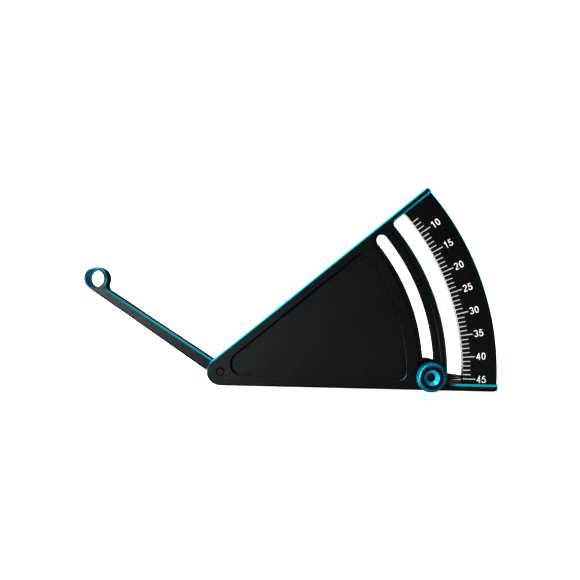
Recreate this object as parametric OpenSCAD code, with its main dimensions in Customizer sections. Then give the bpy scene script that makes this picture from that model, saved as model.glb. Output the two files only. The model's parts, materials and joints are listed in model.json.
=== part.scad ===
// Ride height gauge: a sector shaped plate that stands on its lower edge, and a bell crank
// lever behind it. The ring of the lever goes under a chassis, the pointer shows the height.
// X runs from the ring to the scale, Z is up, and the graduated face looks along -Y.
// The origin is on the base, half way along it and half way through its depth.
// The gauge is drawn at its highest reading, with the lever on its lower stop.

/* [Body] */
// Height of the pivot above the base, and radius of the rounded end
pivot_h = 5.4; // [5.2:0.1:5.8]
// Angle between the base and the upper edge
sector_angle = 40.25; // [40:0.25:42]
// Radius of the outer arc about the pivot
outer_r = 107.8; // [106:0.1:110]
// Thickness of the front wall
wall_t = 4; // [3.6:0.1:4.6]
// Width of the two rims that hold the scale, and height of the foot
rim_w = 2.7; // [2.4:0.1:2.8]
// Distance from the pivot to the start of the foot
foot_start = 8; // [7:0.5:20]
// Depth of the scale and of the knob track below the front face
recess_depth = 1.5; // [1.2:0.1:1.8]
// Radius of the body's small corners, inside and outside
corner_r = 1.5; // [1.2:0.1:1.5]
// Width of the chamfers on the outer edges
chamfer = 0.6; // [0.4:0.05:0.6]
// Width of the chamfers round the window, the ring and the pad
disc_chamfer = 0.7; // [0.7:0.05:0.8]

/* [Pocket] */
// Depth of the shallow pocket in the front face
pocket_depth = 0.8; // [0.4:0.1:1.2]
// Width of the land between the pocket and the straight edges
pocket_land = 3.6; // [3.2:0.1:4]
// Radius of the arc on the scale side of the pocket
pocket_r = 72.2; // [68:0.1:73]
// Radius of the pocket's nose, near the pivot
pocket_nose_r = 5; // [4:0.1:6]
// Radius of the pocket's two other corners
pocket_corner_r = 2.8; // [1.5:0.1:4]

/* [Slot and window] */
// Radius of the slot's centre line, where the lock stud runs
slot_r = 81.1; // [80.5:0.05:81.5]
// Width of the slot
slot_w = 4.6; // [4.5:0.1:5.2]
// Width of the sunk track round the slot
track_w = 9.2; // [9:0.1:9.8]
// How far the track stops short of each end of the slot
track_short = 0.85; // [0.5:0.05:1.2]
// Radius of the plate's edge at the window
window_in_r = 88.1; // [87.2:0.1:88.4]
// Radius of the scale's inner edge
scale_in_r = 94.4; // [94:0.1:95.4]

/* [Scale] */
// Highest reading, at the lower end of the scale
top_reading = 45; // [45:1:45]
// Lowest reading, at the upper end of the scale
low_reading = 7; // [7:1:12]
// Angle of the highest mark above the line from the pivot that is parallel to the base
top_mark_angle = -0.5; // [-0.8:0.05:0]
// Angle between two marks at the highest reading
mark_pitch = 1.014; // [1.0:0.001:1.02]
// Growth of that angle for each millimetre further down the range
mark_growth = 0.00072; // [0:0.00001:0.001]
// Length of a plain mark
mark_len = 2.9; // [2.5:0.1:4]
// Length of every fifth mark
long_mark_len = 4.8; // [4.2:0.1:6]
// Width of a mark
mark_w = 0.35; // [0.3:0.05:0.6]
// Depth of the engraved marks
mark_depth = 0.12; // [0.08:0.01:0.2]

/* [Lever] */
// Thickness of the lever
lever_t = 6; // [5:0.1:7]
// Distance from the pivot to the centre of the ring
lever_len = 61.6; // [60:0.1:65]
// Outer radius of the ring
ring_r = 4.65; // [4.5:0.05:5]
// Radius of the ring's bore
ring_bore_r = 3.4; // [3:0.05:3.45]
// Distance of the arm's lower edge from the pivot
arm_low = 3.7; // [3.2:0.05:4]
// Distance of the arm's upper edge from the pivot
arm_high = 1.35; // [1.2:0.05:2]
// Width of the arm beside the ring
arm_ring_w = 3.5; // [3:0.1:4]
// Radius of the fillet between the arm and the ring
ring_fillet_r = 2.4; // [1.5:0.1:3]
// Radius of the hub about the pivot
hub_r = 4.8; // [4.6:0.1:4.9]
// Height of the pointer bar above the pivot line, at the hub
bar_root = 3.9; // [3:0.1:4.2]
// Height of the pointer bar above the pivot line, at the pad
bar_end = 2.9; // [2.5:0.1:3.2]
// Radius of the half round pad that the lock stud stands in
pad_r = 8.9; // [8.5:0.1:9.3]
// Radius of the fillets beside the pad
pad_fillet_r = 4.4; // [3:0.1:5]
// Radius of the fillet between the pad and the pointer
tip_fillet_r = 3; // [2:0.1:4]
// Gap between the lever and the foot at the highest reading
foot_gap = 0.15; // [0.1:0.01:0.2]
// Reach of the pointer's tip from the pivot
tip_r = 96.4; // [95.4:0.1:98]
// Half width of the pointer at its tip
tip_half_w = 0.2; // [0.15:0.05:0.4]
// Half width of the pointer for each millimetre back from its tip
tip_taper = 0.125; // [0.1:0.005:0.15]

/* [Pivot] */
// Radius of the pivot screw's thread, which shows flush in the front face
thread_r = 1.5; // [1.5:0.5:1.5]
// Radius of the screw's plain shoulder
shoulder_r = 2; // [1.9:0.05:2.2]
// Outer radius of the two flanged bushes
bush_r = 3; // [2.8:0.1:3.2]
// Radius of the bush flanges
flange_r = 4.4; // [4:0.1:4.6]
// Length of each bush inside the hub
bush_len = 2.6; // [2:0.1:2.8]
// Space that a bush flange fills on each side of the hub
flange_gap = 0.3; // [0.25:0.05:0.4]
// Height that the disc spring takes up under the screw head
spring_h = 0.5; // [0.4:0.05:0.7]
// Radius of the screw head
head_r = 3.8; // [3.5:0.1:4.2]
// Height of the screw head
head_h = 2; // [1.6:0.1:2.4]

/* [Lock] */
// Outer radius of the knurled knob
knob_r = 5.8; // [5.6:0.05:6]
// How far the knob stands out of the front face
knob_proud = 3.4; // [3.2:0.1:4]
// Number of teeth round the knob
knurl_count = 48; // [36:2:60]
// Depth of the knurl
knurl_depth = 0.24; // [0.15:0.01:0.3]
// Width of the sloping ring round the knob's face
knob_slope_w = 1.43; // [1.2:0.01:1.6]
// Drop of that sloping ring
knob_slope_h = 1.1; // [0.9:0.05:1.3]
// Radius of the countersink in the knob
sink_r = 2.95; // [2.6:0.05:3.1]
// Thickness of the clamp washer in the track
clamp_t = 0.5; // [0.4:0.05:0.6]

/* [Hidden] */

// Smoothness of small round parts and of the large arcs
fine = 72;
large = 240;
// Longer than anything in the gauge
reach = 150;
// Radial play of a running fit, and the gap between two sliding faces
play = 0.05;
slide_gap = 0.02;
// Overshoot of a cutter past the face that it cuts
past = 1;
// Edge breaks of turned pieces and of hidden edges
edge_break = 0.2;
// Rounded corners stay this far inside the edges that they run into, so that no surface only
// touches another
inset = 0.01;

// Depths along Y
body_depth = wall_t + flange_gap + lever_t;
front_y = -body_depth / 2;
back_y = body_depth / 2;
wall_back_y = front_y + wall_t;
floor_y = front_y + recess_depth;
lever_front_y = wall_back_y + flange_gap;
pad_front_y = wall_back_y + slide_gap;
head_y = back_y + flange_gap + spring_h;

// Places in the plane of the face, measured from the pivot
half_angle = sector_angle / 2;
rim_line = pivot_h - rim_w;
pocket_line = pivot_h - pocket_land;
bar_low = rim_line - foot_gap;
pad_centre = [slot_r, -bar_low];
// Radius of the washer and of the knob's hub, which stay clear of the track's ends
clamp_r = track_w / 2 - track_short - 3 * play;
// Chamfer of the lever's fillets, between those of its edges and its discs
fillet_chamfer = (chamfer + disc_chamfer) / 2;
// How far each fillet reaches into the lever, less than the lever is wide there
ring_root = 2.7;
bar_root_depth = 2;
tip_root = 1;
ring_angle = asin((top_reading - pivot_h - ring_r) / lever_len);
ring_centre = lever_len * [-cos(ring_angle), sin(ring_angle)];

function dir(a) = [cos(a), sin(a)];
function unit(v) = v / norm(v);
// Angle of a mark above the line through the pivot that is parallel to the base
function mark_angle(h) = top_mark_angle + (top_reading - h) * mark_pitch
    + (top_reading - h) * (top_reading - h) * mark_growth;
// Centre of a corner of radius r between an arc about the pivot and a line below the pivot
function corner_centre(arc_r, line, r) = [sqrt(pow(arc_r - r, 2) - pow(line - r, 2)), r - line];
// A point of the lower half (side 1), or its reflection on the upper half (side -1)
function on_side(p, side) = side > 0 ? p
    : [p * dir(sector_angle), p[0] * sin(sector_angle) - p[1] * cos(sector_angle)];
sides = [1, -1];

// Moves what is drawn about the pivot to its place above the base
module at_pivot() {
    translate([-outer_r / 2, 0, pivot_h]) children();
}

// Moves what is drawn about the origin to a point in the plane of the face
module at_point(p) {
    translate([p[0], 0, p[1]]) children();
}

// A flat drawing made solid between two depths
module slab(y_low, y_high) {
    translate([0, y_high, 0]) rotate([90, 0, 0]) linear_extrude(y_high - y_low) children();
}

// A body turned about a line along Y: each point of the profile is a radius and a depth
module turned(profile, smooth = fine) {
    rotate([90, 0, 0]) rotate_extrude($fn = smooth) polygon([for (p = profile) [p[0], -p[1]]]);
}

// A disc with chamfered edges
module puck(r, y_low, y_high, front_c, back_c, smooth = fine) {
    back = back_c > 0 ? [[r, y_high - back_c], [r - back_c, y_high]] : [[r, y_high]];
    turned(concat(
        [[0, y_low], [r - front_c, y_low], [r, y_low + front_c]], back, [[0, y_high]]
    ), smooth);
}

// A cutter for a round hole with chamfered mouths
module flared_hole(r, y_low, y_high, front_c, back_c) {
    back = back_c > 0 ? [[r, y_high - back_c], [r + back_c + past, y_high + past]]
        : [[r, y_high + past]];
    turned(concat(
        [[0, y_low - past], [r + front_c + past, y_low - past], [r, y_low + front_c]],
        back, [[0, y_high + past]]
    ));
}

// A thin ring with broken edges
module washer(r_in, r_out, y_low, y_high, c) {
    turned([
        [r_in, y_low], [r_out - c, y_low], [r_out, y_low + c],
        [r_out, y_high - c], [r_out - c, y_high], [r_in, y_high]
    ]);
}

// A hexagon socket cut into a face that looks along +Y
module hex_socket(across, depth, y_face) {
    translate([0, y_face + past, 0]) rotate([90, 0, 0])
        cylinder(r = across / sqrt(3), h = depth + past, $fn = 6);
}

// All that lies below the plane z = 0, with that edge chamfered at the front and the back
module below_edge(y_low, y_high, front_c, back_c) {
    back = back_c > 0 ? [[y_high - back_c, 0], [y_high, -back_c]] : [[y_high, 0]];
    translate([-reach, 0, 0]) rotate([90, 0, 90]) linear_extrude(2 * reach) polygon(concat(
        [[y_low, -reach], [y_low, -front_c], [y_low + front_c, 0]], back, [[y_high, -reach]]
    ));
}

// All that lies below a line at the given distance from the pivot, turned by an angle about it
module side_of_line(angle, distance, y_low, y_high, front_c, back_c) {
    rotate([0, -angle, 0]) translate([0, 0, distance])
        below_edge(y_low, y_high, front_c, back_c);
}

// The tip that is cut away where a corner at c is rounded with radius r
// way is 1 for a corner on the inside of an arc about the pivot, and -1 for one outside it
module corner_tip(c, r, way, side) {
    tip = [c, c + [0, -3 * r], c + [3 * way, -3] * r, c + 3 * way * r * unit(c)];
    polygon([for (p = tip) on_side(p, side)]);
}

// The body's blank, as deep as the foot, with chamfered edges and rounded corners
module blank() {
    corner = corner_centre(outer_r, pivot_h, corner_r);
    nose = [
        [0, 0], [0, -3 * pivot_h], [-3 * pivot_h, -3 * pivot_h], [-3 * pivot_h, 3 * pivot_h],
        3 * pivot_h * dir(90 + sector_angle)
    ];
    low_y = front_y - past;
    high_y = back_y + past;
    difference() {
        intersection() {
            puck(outer_r, front_y, back_y, chamfer, chamfer, large);
            side_of_line(180, pivot_h, low_y, high_y, chamfer + past, chamfer + past);
            side_of_line(sector_angle, pivot_h, low_y, high_y, chamfer + past, chamfer + past);
        }
        slab(low_y, high_y) polygon(nose);
        for (side = sides) slab(low_y, high_y) corner_tip(corner, corner_r, 1, side);
    }
    puck(pivot_h - inset, front_y, back_y, chamfer, chamfer);
    for (side = sides) at_point(on_side(corner, side))
        puck(corner_r - inset, front_y, back_y, chamfer, chamfer);
}

// Centre of the rounded corner between the plate's edge and the lower rim
window_corner = [
    sqrt(pow(window_in_r + corner_r, 2) - pow(rim_line - corner_r, 2)), corner_r - rim_line
];

// All that is cut away between the rims: the window, and the recess in front of the scale
module window_cutter() {
    low_y = front_y - 2 * past;
    high_y = wall_back_y + 2 * past;
    front_c = disc_chamfer + 2 * past;
    scale_c = chamfer / 2;
    far_r = outer_r + 2 * past;
    difference() {
        slab(low_y + past, high_y - past) intersection() {
            circle(r = outer_r + past, $fn = large);
            polygon([
                [scale_in_r / 2, -pivot_h], [reach, -pivot_h], reach * [1, 1],
                [scale_in_r / 2, reach / 2]
            ]);
        }
        puck(window_in_r, low_y, high_y, front_c, 0, large);
        side_of_line(0, -rim_line, low_y, high_y, front_c, 0);
        side_of_line(sector_angle + 180, -rim_line, low_y, high_y, front_c, 0);
        for (side = sides)
            slab(low_y, high_y) corner_tip(window_corner, corner_r, -1, side);
        turned([
            [scale_in_r, floor_y], [outer_r - scale_c, floor_y],
            [far_r, floor_y + scale_c + 2 * past], [far_r, high_y], [scale_in_r, high_y]
        ], large);
    }
}

// A rounded corner of the window, which the cutter leaves
module window_corner_cutter(side) {
    at_point(on_side(window_corner, side))
        flared_hole(corner_r - inset, front_y, wall_back_y, disc_chamfer, 0);
}

// All that is cut away behind the wall, above the foot
module back_cutter() {
    slab(wall_back_y, back_y + past) polygon([
        [-reach, -reach], [foot_start, -reach], [foot_start, -rim_line], [reach, -rim_line],
        [reach, reach], [-reach, reach]
    ]);
}

// An arc shaped slot with round ends
module arc_slot(r, width, a_low, a_high) {
    intersection() {
        difference() {
            circle(r = r + width / 2, $fn = large);
            circle(r = r - width / 2, $fn = large);
        }
        polygon([[0, 0], 2 * r * dir(a_low), 2 * r * dir((a_low + a_high) / 2), 2 * r * dir(a_high)]);
    }
    for (a = [a_low, a_high]) rotate(a) translate([r, 0])
        circle(r = width / 2 - inset, $fn = fine);
}

// The outline of the shallow pocket, a triangle with a round nose and an arc for its third side
module pocket_outline() {
    nose = (pocket_nose_r - pocket_line) / sin(half_angle) * dir(half_angle);
    corner = corner_centre(pocket_r, pocket_line, pocket_corner_r);
    low_start = [nose[0], -pocket_line];
    low_end = [pocket_r + past, -pocket_line];
    beyond = 1.2 * pocket_r * dir(half_angle);
    translate(nose) circle(r = pocket_nose_r - inset, $fn = fine);
    difference() {
        intersection() {
            circle(r = pocket_r, $fn = large);
            polygon([low_start, low_end, beyond, on_side(low_end, -1), on_side(low_start, -1)]);
        }
        for (side = sides) corner_tip(corner, pocket_corner_r, 1, side);
    }
    for (side = sides) translate(on_side(corner, side))
        circle(r = pocket_corner_r - inset, $fn = fine);
}

// The engraved marks, one for each millimetre
module marks() {
    for (h = [low_reading : top_reading]) {
        len = h % 5 == 0 ? long_mark_len : mark_len;
        rotate([0, -mark_angle(h), 0])
            translate([scale_in_r - past, floor_y - past, -mark_w / 2])
            cube([len + past, mark_depth + past, mark_w]);
    }
}

// The one piece body: face, scale and foot
module body_plate() {
    track_end = track_short / slot_r * 180 / PI;
    color("#1b1c1f") at_pivot() difference() {
        blank();
        back_cutter();
        window_cutter();
        for (side = sides) window_corner_cutter(side);
        slab(front_y - past, floor_y)
            arc_slot(slot_r, track_w, track_end, sector_angle - track_end);
        slab(front_y - past, wall_back_y + past) arc_slot(slot_r, slot_w, 0, sector_angle);
        slab(front_y - past, front_y + pocket_depth) pocket_outline();
        flared_hole(thread_r, front_y, wall_back_y, edge_break, edge_break);
        marks();
    }
}

// The tapered arm between the hub and the ring
module ring_arm() {
    low_tilt = atan((ring_r - inset - arm_low) / lever_len);
    high_tilt = atan((arm_high + ring_r - arm_ring_w) / lever_len);
    across = 2 * ring_r * dir(90 - ring_angle);
    intersection() {
        slab(lever_front_y - past, back_y + past)
            polygon([-across, across, ring_centre + across, ring_centre - across]);
        lever_edge(180 - ring_angle + low_tilt, arm_low * cos(low_tilt), lever_front_y);
        lever_edge(high_tilt - ring_angle, arm_high * cos(high_tilt), lever_front_y);
    }
}

// All of the lever's depth on one side of a line, with that edge chamfered
module lever_edge(angle, distance, y_low) {
    side_of_line(angle, distance, y_low, back_y, chamfer, chamfer);
}

// A fillet between a disc of radius r and a straight edge of the lever
// The edge runs through the point start along the direction edge, away from the disc, and the
// fillet is on the side that the normal of the edge points to; root is its depth in the edge
module disc_fillet(disc, r, start, edge, normal, fillet_r, root) {
    lift = (disc - start) * normal;
    back = sqrt(pow(r + fillet_r, 2) - pow(fillet_r - lift, 2));
    centre = start + edge * ((disc - start) * edge + back) + normal * fillet_r;
    on_disc = disc + r * unit(centre - disc);
    on_edge = centre - normal * fillet_r;
    difference() {
        slab(lever_front_y, back_y)
            polygon([
                centre, on_disc, disc - normal * root / 2, on_edge - normal * root, on_edge
            ]);
        at_point(centre)
            flared_hole(fillet_r + inset, lever_front_y, back_y, fillet_chamfer, fillet_chamfer);
    }
}

// The fillet on the upper side of the arm, beside the ring
module ring_fillet() {
    up = dir(90 - ring_angle);
    at_ring = ring_centre - up * (ring_r - arm_ring_w);
    edge = unit(up * arm_high - at_ring);
    disc_fillet(ring_centre, ring_r, at_ring, edge, [-edge[1], edge[0]], ring_fillet_r, ring_root);
}

// Cuts the lever flat, just above the foot, and chamfers that edge
module flat_below(y_low) {
    intersection() {
        children();
        lever_edge(180, bar_low, y_low);
    }
}

// The bar between the hub and the pad, with a fillet beside the pad
module pointer_bar() {
    drop = atan((bar_root - bar_end) / slot_r);
    intersection() {
        slab(lever_front_y - past, back_y + past)
            polygon([[0, -pivot_h], [slot_r, -pivot_h], [slot_r, pivot_h], [0, pivot_h]]);
        lever_edge(-drop, bar_root * cos(drop), lever_front_y);
    }
    disc_fillet(pad_centre, pad_r, [0, bar_root], -dir(-drop), dir(90 - drop), pad_fillet_r,
        bar_root_depth);
}

// The tapered pointer, which lies along the highest mark, with a fillet beside the pad
module pointer_tip() {
    root_half_w = tip_half_w + (tip_r - slot_r) * tip_taper;
    upper = top_mark_angle - atan(tip_taper);
    upper_end = tip_r * dir(top_mark_angle) + tip_half_w * dir(top_mark_angle + 90);
    slab(lever_front_y, back_y) rotate(top_mark_angle) polygon([
        [slot_r, -root_half_w], [tip_r, -tip_half_w], [tip_r, tip_half_w], [slot_r, root_half_w]
    ]);
    disc_fillet(pad_centre, pad_r, upper_end, dir(upper), dir(upper + 90), tip_fillet_r,
        tip_root);
}

// The one piece lever: ring, arm, hub, bar, pad and pointer
module lever() {
    color("#1b1c1f") at_pivot() difference() {
        union() {
            puck(hub_r, lever_front_y, back_y, disc_chamfer, disc_chamfer);
            ring_arm();
            at_point(ring_centre)
                puck(ring_r, lever_front_y, back_y, disc_chamfer, disc_chamfer);
            ring_fillet();
            flat_below(lever_front_y) union() {
                pointer_bar();
                pointer_tip();
            }
            flat_below(pad_front_y) at_point(pad_centre)
                puck(pad_r, pad_front_y, back_y, disc_chamfer, disc_chamfer);
        }
        at_point(ring_centre)
            flared_hole(ring_bore_r, lever_front_y, back_y, edge_break, edge_break);
        flared_hole(bush_r, lever_front_y, back_y, edge_break, edge_break);
        at_point([slot_r, 0])
            flared_hole(thread_r, pad_front_y, back_y, edge_break, edge_break);
    }
}

// A flanged bush: the flange ends at flange_y, and the sleeve points along the sign given
module flanged_bush(flange_y, sign) {
    bore = shoulder_r + play;
    flange_t = flange_gap - slide_gap;
    sleeve_y = flange_t + bush_len;
    turned([for (p = [
        [bore, 0], [flange_r, 0], [flange_r, flange_t], [bush_r, flange_t], [bush_r, sleeve_y],
        [bore, sleeve_y]
    ]) [p[0], flange_y + sign * p[1]]]);
}

module front_bush() {
    color("#e7e3d8") at_pivot() flanged_bush(wall_back_y + slide_gap, 1);
}

module rear_bush() {
    color("#e7e3d8") at_pivot() flanged_bush(back_y + flange_gap - slide_gap, -1);
}

// The shoulder screw that the lever turns on, put in from the back
module pivot_screw() {
    color("#2a2a2c") at_pivot() difference() {
        turned([
            [0, front_y + edge_break / 2], [thread_r - edge_break, front_y + edge_break / 2],
            [thread_r, front_y + edge_break * 3 / 2], [thread_r, wall_back_y],
            [shoulder_r, wall_back_y], [shoulder_r, head_y], [head_r, head_y],
            [head_r, head_y + head_h - edge_break * 2],
            [head_r - edge_break * 2, head_y + head_h], [0, head_y + head_h]
        ]);
        hex_socket(2.5, head_h * 0.6, head_y + head_h);
    }
}

// The coned disc spring under the screw head, which keeps the lever from swinging freely
module spring_washer() {
    bore = shoulder_r + play;
    sheet = spring_h / 2;
    low_y = back_y + flange_gap;
    color("#8d9096") at_pivot() turned([
        [bore, low_y + sheet], [bore, low_y + 2 * sheet],
        [head_r - edge_break, low_y + sheet], [head_r - edge_break, low_y]
    ]);
}

// The headless screw that stands in the pad and passes through the slot
module lock_stud() {
    stud_front_y = front_y - knob_proud + (sink_r - thread_r) + edge_break * 2;
    stud_back_y = back_y - edge_break;
    color("#2a2a2c") at_pivot() at_point([slot_r, 0]) difference() {
        turned([
            [0, stud_front_y], [thread_r - edge_break * 2, stud_front_y],
            [thread_r, stud_front_y + edge_break * 2], [thread_r, stud_back_y - edge_break],
            [thread_r - edge_break, stud_back_y], [0, stud_back_y]
        ]);
        hex_socket(1.5, 1.6, stud_back_y);
    }
}

// The sleeve on the stud that guides it along the slot
module slot_bush() {
    color("#e7e3d8") at_pivot() at_point([slot_r, 0])
        washer(thread_r, slot_w / 2 - play, floor_y + play, wall_back_y + slide_gap, edge_break / 2);
}

// The washer that the knob presses on the floor of the track
module clamp_washer() {
    color("#b4b7bb") at_pivot() at_point([slot_r, 0])
        washer(thread_r + play, clamp_r, floor_y - clamp_t, floor_y - slide_gap, edge_break / 2);
}

// The outline of the knurl, a ring of small teeth
module knurl_outline() {
    step = 180 / knurl_count;
    polygon([for (i = [0 : 2 * knurl_count - 1])
        (knob_r - (i % 2) * knurl_depth) * dir(i * step)]);
}

// The knurled nut that locks the lever
module lock_knob() {
    hub_back_y = floor_y - clamp_t - slide_gap;
    head_back_y = front_y - 6 * play;
    face_y = front_y - knob_proud;
    color("#22a7c9") at_pivot() at_point([slot_r, 0]) difference() {
        union() {
            intersection() {
                slab(face_y, head_back_y) knurl_outline();
                turned([
                    [0, face_y], [knob_r - knob_slope_w, face_y],
                    [knob_r + knob_slope_w, face_y + 2 * knob_slope_h],
                    [knob_r + knob_slope_w, head_back_y - edge_break - knob_slope_w],
                    [knob_r - edge_break, head_back_y], [0, head_back_y]
                ]);
            }
            washer(thread_r, clamp_r, head_back_y - past, hub_back_y, edge_break);
        }
        turned([
            [0, face_y - past], [sink_r + past, face_y - past],
            [thread_r + play, face_y + sink_r - thread_r - play],
            [thread_r + play, hub_back_y + past], [0, hub_back_y + past]
        ]);
    }
}

body_plate();
lever();
front_bush();
rear_bush();
pivot_screw();
spring_washer();
lock_stud();
slot_bush();
clamp_washer();
lock_knob();
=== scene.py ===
"""Looks of the ride height gauge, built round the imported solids. Lengths are in metres."""
import json
import math

import bmesh
import bpy
from mathutils import Matrix, Vector


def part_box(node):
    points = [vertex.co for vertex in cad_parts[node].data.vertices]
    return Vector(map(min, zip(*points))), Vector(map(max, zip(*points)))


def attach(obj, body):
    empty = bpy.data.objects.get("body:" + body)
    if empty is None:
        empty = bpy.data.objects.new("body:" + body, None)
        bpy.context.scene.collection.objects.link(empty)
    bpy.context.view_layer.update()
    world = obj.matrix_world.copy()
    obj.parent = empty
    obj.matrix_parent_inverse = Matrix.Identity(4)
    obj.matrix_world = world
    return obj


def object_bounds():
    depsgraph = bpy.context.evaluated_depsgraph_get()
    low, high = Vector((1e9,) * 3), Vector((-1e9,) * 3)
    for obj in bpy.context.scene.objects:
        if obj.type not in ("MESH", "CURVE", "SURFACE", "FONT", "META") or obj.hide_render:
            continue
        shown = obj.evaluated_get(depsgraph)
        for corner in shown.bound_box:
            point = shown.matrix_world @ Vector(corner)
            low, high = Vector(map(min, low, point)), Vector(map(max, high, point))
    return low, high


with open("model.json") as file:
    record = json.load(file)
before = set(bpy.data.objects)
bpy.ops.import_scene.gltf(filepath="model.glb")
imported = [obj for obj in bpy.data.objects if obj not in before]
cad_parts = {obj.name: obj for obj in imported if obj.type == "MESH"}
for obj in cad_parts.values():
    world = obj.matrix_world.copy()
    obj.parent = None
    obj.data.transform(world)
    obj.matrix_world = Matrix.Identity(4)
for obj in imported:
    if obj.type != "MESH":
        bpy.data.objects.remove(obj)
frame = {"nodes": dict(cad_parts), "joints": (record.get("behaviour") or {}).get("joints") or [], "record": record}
cad_low, cad_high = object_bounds()
nodes = frame["nodes"]
joint_places = {joint["name"]: joint.get("pos_m") for joint in frame["joints"]}
mount_places = {mount["name"]: mount["pos_m"] for mount in frame["record"]["mounts"]}

MM = 0.001

# Centres that the gauge is laid out from
PIVOT = Vector(joint_places["lever_turn"])
KNOB_CENTRE = Vector(joint_places["knob_turn"])
RING_CENTRE = Vector(mount_places["ring_bore"])

# Depths of the flat faces, along Y
FRONT_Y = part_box("body_plate")[0].y
KNOB_FACE_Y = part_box("lock_knob")[0].y
POCKET_Y = FRONT_Y + 0.8 * MM
SCALE_Y = FRONT_Y + 1.5 * MM
POINTER_Y = -0.85 * MM

# Slope of the body's upper edge, and the directions along it and square to it
SECTOR_ANGLE = math.radians(40.25)
UPPER_EDGE_ALONG = Vector((math.cos(SECTOR_ANGLE), 0, math.sin(SECTOR_ANGLE)))
UPPER_EDGE_UP = Vector((-math.sin(SECTOR_ANGLE), 0, math.cos(SECTOR_ANGLE)))

# The pocket: the land between it and the body's straight edges, and its radii at both ends
POCKET_LAND = 3.6 * MM
POCKET_NOSE_R = 5 * MM
POCKET_R = 72.2 * MM

# The arm: the line from the pivot to the ring, and its edges below and above that line
ARM_ALONG = ((RING_CENTRE - PIVOT) * Vector((1, 0, 1))).normalized()
ARM_UP = Vector((ARM_ALONG.z, 0, -ARM_ALONG.x))
ARM_LOW = -3.7 * MM
ARM_HIGH = 1.35 * MM
RING_BORE_R = 3.4 * MM

# The scale: the radius where it starts, its readings, and the angle of each mark in degrees
SCALE_IN_R = 94.4 * MM
TOP_READING = 45
LOW_READING = 7
NUMBERED_STEP = 5
TOP_MARK_ANGLE = -0.5
MARK_PITCH = 1.014
MARK_GROWTH = 0.00072


def turn_about_pivot(angle):
    """Turns by an angle, in degrees, up from the base line, about the pivot."""
    there = Matrix.Translation(PIVOT)
    return there @ Matrix.Rotation(math.radians(-angle), 4, "Y") @ there.inverted()


def mark_angle(reading):
    """Angle of a mark, in degrees: the marks spread a little towards the low readings."""
    steps = TOP_READING - reading
    return TOP_MARK_ANGLE + steps * MARK_PITCH + steps * steps * MARK_GROWTH


def finish_piece(name, bm, material, body):
    """Makes a finished mesh into a piece that rides on a body."""
    mesh = bpy.data.meshes.new(name)
    bm.normal_update()
    bm.to_mesh(mesh)
    bm.free()
    piece = bpy.data.objects.new(name, mesh)
    bpy.context.scene.collection.objects.link(piece)
    mesh.materials.append(material)
    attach(piece, body)


# Shader nodes

# Where a Mix node keeps its factor, its two inputs and its result for each kind of data
MIX_SOCKETS = {"VECTOR": (0, 4, 5, 1), "RGBA": (0, 6, 7, 2)}


def add(tree, kind, **settings):
    """A new node with its settings."""
    node = tree.nodes.new(kind)
    for name, setting in settings.items():
        setattr(node, name, setting)
    return node


def feed(tree, socket, value):
    """Links a socket to another one, or sets it to a number or a colour."""
    if isinstance(value, bpy.types.NodeSocket):
        tree.links.new(value, socket)
    elif isinstance(value, tuple):
        socket.default_value = (*value, 1.0)
    else:
        socket.default_value = value


def maths(tree, operation, *values):
    """The result of a maths node on numbers or sockets."""
    node = add(tree, "ShaderNodeMath", operation=operation)
    for socket, value in zip(node.inputs, values):
        feed(tree, socket, value)
    return node.outputs[0]


def all_of(tree, *masks):
    """1 where every mask is 1."""
    result = masks[0]
    for mask in masks[1:]:
        result = maths(tree, "MULTIPLY", result, mask)
    return result


def any_of(tree, *masks):
    """1 where at least one mask is 1."""
    result = masks[0]
    for mask in masks[1:]:
        result = maths(tree, "MAXIMUM", result, mask)
    return result


def none_of(tree, *masks):
    """1 where every mask is 0."""
    return maths(tree, "SUBTRACT", 1.0, any_of(tree, *masks))


def ramp(tree, value, start, end, first=0.0, last=1.0):
    """A smooth change from the first number to the last between two limits."""
    node = add(tree, "ShaderNodeMapRange", interpolation_type="SMOOTHSTEP")
    feed(tree, node.inputs["Value"], value)
    feed(tree, node.inputs["From Min"], start)
    feed(tree, node.inputs["From Max"], end)
    feed(tree, node.inputs["To Min"], first)
    feed(tree, node.inputs["To Max"], last)
    return node.outputs["Result"]


def fade(tree, value, start, end):
    """1 up to the start, and 0 from the end on."""
    return ramp(tree, value, start, end, 1.0, 0.0)


def band(tree, value, low, high, soft):
    """1 between two limits, with soft sides outside them."""
    rise = ramp(tree, value, low - soft, low)
    return all_of(tree, rise, fade(tree, value, high, high + soft))


def mix(tree, kind, factor, a, b):
    """Input a where the factor is 0, and input b where it is 1."""
    node = add(tree, "ShaderNodeMix", data_type=kind)
    *inputs, result = MIX_SOCKETS[kind]
    for index, value in zip(inputs, (factor, a, b)):
        feed(tree, node.inputs[index], value)
    return node.outputs[result]


def mix_colour(tree, factor, a, b):
    """Colour a where the factor is 0, and colour b where it is 1."""
    return mix(tree, "RGBA", factor, a, b)


def noise(tree, place, scale, detail, roughness=0.5):
    """Soft random blotches; the scale is the number of them in a metre."""
    node = add(tree, "ShaderNodeTexNoise")
    feed(tree, node.inputs["Vector"], place)
    feed(tree, node.inputs["Scale"], scale)
    feed(tree, node.inputs["Detail"], detail)
    feed(tree, node.inputs["Roughness"], roughness)
    return node.outputs["Fac"]


def dot_product(tree, vector, direction):
    """How far a vector reaches along a direction."""
    node = add(tree, "ShaderNodeVectorMath", operation="DOT_PRODUCT")
    feed(tree, node.inputs[0], vector)
    node.inputs[1].default_value = direction
    return node.outputs["Value"]


def object_place(tree):
    """Place on the piece; every piece has the gauge's own origin."""
    return add(tree, "ShaderNodeTexCoord").outputs["Object"]


def axes(tree, vector):
    """The X, Y and Z of a vector, by name."""
    node = add(tree, "ShaderNodeSeparateXYZ")
    feed(tree, node.inputs[0], vector)
    return node.outputs


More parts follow.
